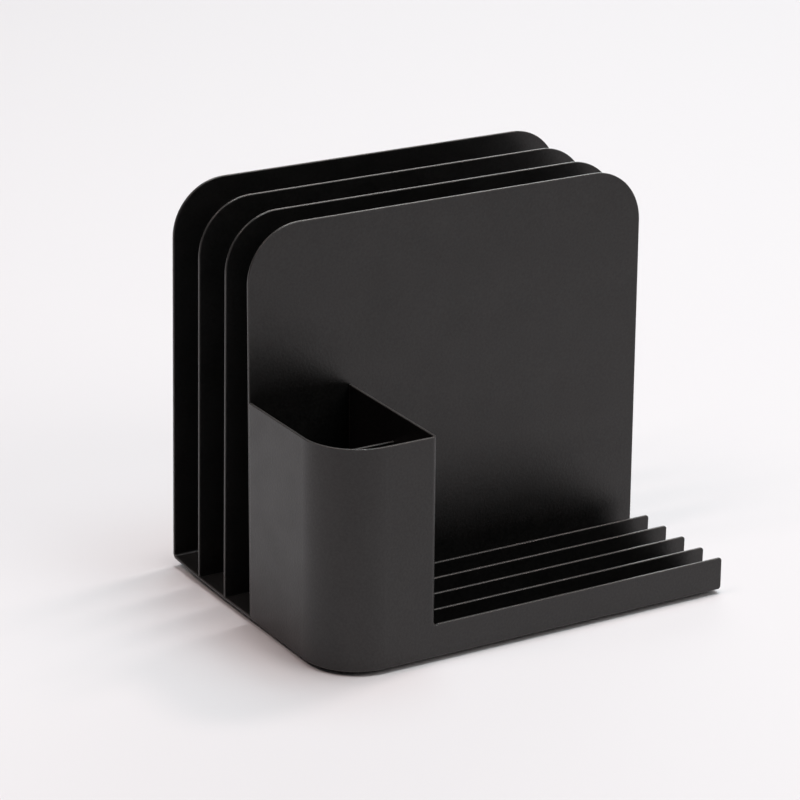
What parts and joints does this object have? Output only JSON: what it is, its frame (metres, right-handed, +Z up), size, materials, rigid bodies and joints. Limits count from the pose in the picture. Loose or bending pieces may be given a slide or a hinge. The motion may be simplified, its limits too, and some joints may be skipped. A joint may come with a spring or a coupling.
{
  "type": "desk caddy",
  "caption": "Free-standing sheet-steel desk caddy with upright file slots, a pen cup with one rolled corner and an inner cross plate, and a low tray with fins for pens.",
  "frame": {"origin": "on the desk, under the middle of the caddy's footprint", "axes": "+X to the right along the panels, +Y to the back, +Z up; the cup and tray are at -Y"},
  "size_m": [0.2, 0.1436, 0.1804],
  "materials": {
    "powder_coat": "satin black powder coat, very fine grain",
    "foot_rubber": "matte"
  },
  "bodies": {
    "root": {"base_and_rear_panel": "powder_coat", "front_panel": "powder_coat", "file_divider_1": "powder_coat", "file_divider_2": "powder_coat", "cup_wall_and_lip": "powder_coat", "cup_divider": "powder_coat", "tray_fin_1": "powder_coat", "tray_fin_2": "powder_coat", "tray_fin_3": "powder_coat", "tray_fin_4": "powder_coat", "foot_pad_front_left": "foot_rubber", "foot_pad_front_right": "foot_rubber", "foot_pad_rear_left": "foot_rubber", "foot_pad_rear_right": "foot_rubber"}
  },
  "joints": []
}
